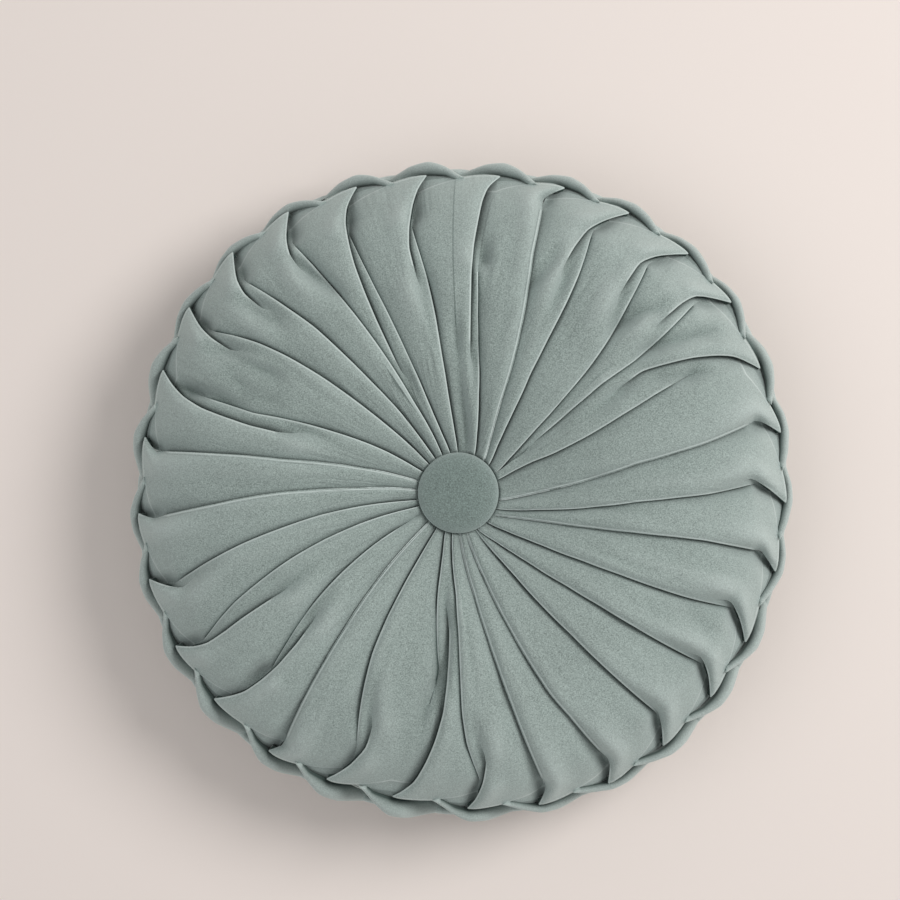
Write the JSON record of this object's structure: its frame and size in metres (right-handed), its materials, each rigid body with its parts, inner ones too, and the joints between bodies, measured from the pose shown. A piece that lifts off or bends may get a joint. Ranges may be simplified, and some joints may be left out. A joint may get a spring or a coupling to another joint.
{
  "type": "round pleated cushion",
  "caption": "Round filled velvet cushion, its faces pleated in a swirl to a covered button, with a plaited rim where the pleats of both faces interlock.",
  "frame": {"origin": "on the surface that the cushion lies on, under the middle of its outline", "axes": "+Z out of the front face, +Y to the top of the front face, +X to its right as it is looked at"},
  "size_m": [0.3844, 0.3769, 0.1016],
  "materials": {
    "velvet": "short-pile velvet in a greyed sage green, matt with a soft sheen on the folds",
    "button_velvet": "the same velvet stretched over a button, so that it looks a little darker"
  },
  "bodies": {
    "root": {"cover": "velvet", "button_front": "button_velvet", "button_back": "button_velvet"}
  },
  "joints": []
}
